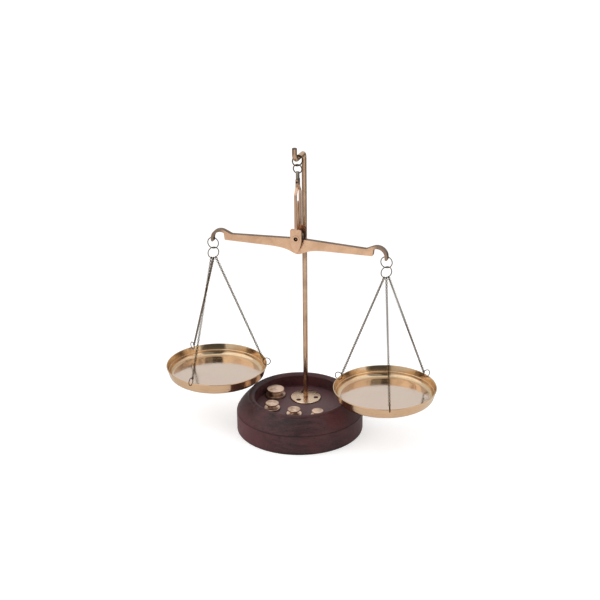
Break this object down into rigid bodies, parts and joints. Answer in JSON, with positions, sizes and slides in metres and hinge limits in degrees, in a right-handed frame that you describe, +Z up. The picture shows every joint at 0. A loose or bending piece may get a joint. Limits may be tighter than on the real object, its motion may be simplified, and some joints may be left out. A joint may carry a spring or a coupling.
{
  "type": "equal-arm balance scale",
  "caption": "Equal-arm brass balance hung from a hooked post on a round wooden base with a tray of loose weights, pans on link chains.",
  "frame": {"origin": "centre of the wooden base's underside, on the table", "axes": "+X along the beam towards the right pan, +Y from the front to the post, +Z up"},
  "size_m": [0.2856, 0.1296, 0.3023],
  "materials": {
    "wood": "dark reddish brown, stained and polished",
    "felt": "green felt",
    "brass_rod": "polished, warm",
    "brass_beam": "cast and polished, warm",
    "brass_pan": "spun sheet, bright polish",
    "brass_weight": "turned, pinkish",
    "brass_chain": "dull, darkened",
    "steel": "dark, lightly worn"
  },
  "bodies": {
    "stand": {"base": "wood", "base_felt": "felt", "post_flange": "brass_rod", "flange_screws": "steel", "post": "brass_rod"},
    "hook_ring": {"hook_ring": "brass_chain"},
    "link_ring": {"link_ring": "brass_chain"},
    "strap": {"hanger_strap": "steel"},
    "fork": {"hanger_rivet": "steel", "fork_front": "brass_beam", "fork_back": "brass_beam"},
    "beam": {"pivot_pin": "steel", "beam": "brass_beam", "needle": "brass_beam"},
    "left_hook_ring": {"left_hook_ring": "brass_chain"},
    "left_pan": {"left_collecting_ring": "brass_chain", "left_chain_1": "brass_chain", "left_chain_2": "brass_chain", "left_chain_3": "brass_chain", "left_rim_rings": "brass_chain", "left_pan": "brass_pan"},
    "right_hook_ring": {"right_hook_ring": "brass_chain"},
    "right_pan": {"right_collecting_ring": "brass_chain", "right_chain_1": "brass_chain", "right_chain_2": "brass_chain", "right_chain_3": "brass_chain", "right_rim_rings": "brass_chain", "right_pan": "brass_pan"},
    "weight_1": {"weight_1": "brass_weight"},
    "weight_2": {"weight_2": "brass_weight"},
    "weight_3": {"weight_3": "brass_weight"},
    "weight_4": {"weight_4": "brass_weight"}
  },
  "joints": [
    {"name": "hook_ring_swing", "type": "hinge", "parent": "stand", "child": "hook_ring", "pos_m": [0, 0, 0.28954], "axis": [0, 1, 0], "range_deg": [-3.5, 3.5]},
    {"name": "link_ring_swing", "type": "hinge", "parent": "hook_ring", "child": "link_ring", "pos_m": [0, 0, 0.28204], "axis": [0.7431, 0.6691, 0], "range_deg": [-5, 5]},
    {"name": "strap_swing", "type": "hinge", "parent": "link_ring", "child": "strap", "pos_m": [0, 0, 0.27459], "axis": [-1, 0, 0], "range_deg": [-5, 5]},
    {"name": "fork_swing", "type": "hinge", "parent": "strap", "child": "fork", "pos_m": [0, 0, 0.26602], "axis": [0, -1, 0], "range_deg": [-7, 7]},
    {"name": "beam_tilt", "type": "hinge", "parent": "fork", "child": "beam", "pos_m": [0, 0, 0.20872], "axis": [0, 1, 0], "range_deg": [-5, 5]},
    {"name": "left_ring_swing", "type": "hinge", "parent": "beam", "child": "left_hook_ring", "pos_m": [-0.0906, 0, 0.19801], "axis": [1, 0, 0], "range_deg": [-4, 4]},
    {"name": "left_pan_swing", "type": "hinge", "parent": "left_hook_ring", "child": "left_pan", "pos_m": [-0.0906, 0, 0.19226], "axis": [0, -1, 0], "range_deg": [-5, 5]},
    {"name": "right_ring_swing", "type": "hinge", "parent": "beam", "child": "right_hook_ring", "pos_m": [0.0906, 0, 0.19801], "axis": [1, 0, 0], "range_deg": [-4, 4]},
    {"name": "right_pan_swing", "type": "hinge", "parent": "right_hook_ring", "child": "right_pan", "pos_m": [0.0906, 0, 0.19226], "axis": [0, -1, 0], "range_deg": [-5, 5]},
    {"name": "weight_1_lift", "type": "slide", "parent": "stand", "child": "weight_1", "axis": [0, 0, 1], "range_m": [0, 0.014]},
    {"name": "weight_2_lift", "type": "slide", "parent": "stand", "child": "weight_2", "axis": [0, 0, 1], "range_m": [0, 0.014]},
    {"name": "weight_3_lift", "type": "slide", "parent": "stand", "child": "weight_3", "axis": [0, 0, 1], "range_m": [0, 0.014]},
    {"name": "weight_4_lift", "type": "slide", "parent": "stand", "child": "weight_4", "axis": [0, 0, 1], "range_m": [0, 0.014]}
  ]
}
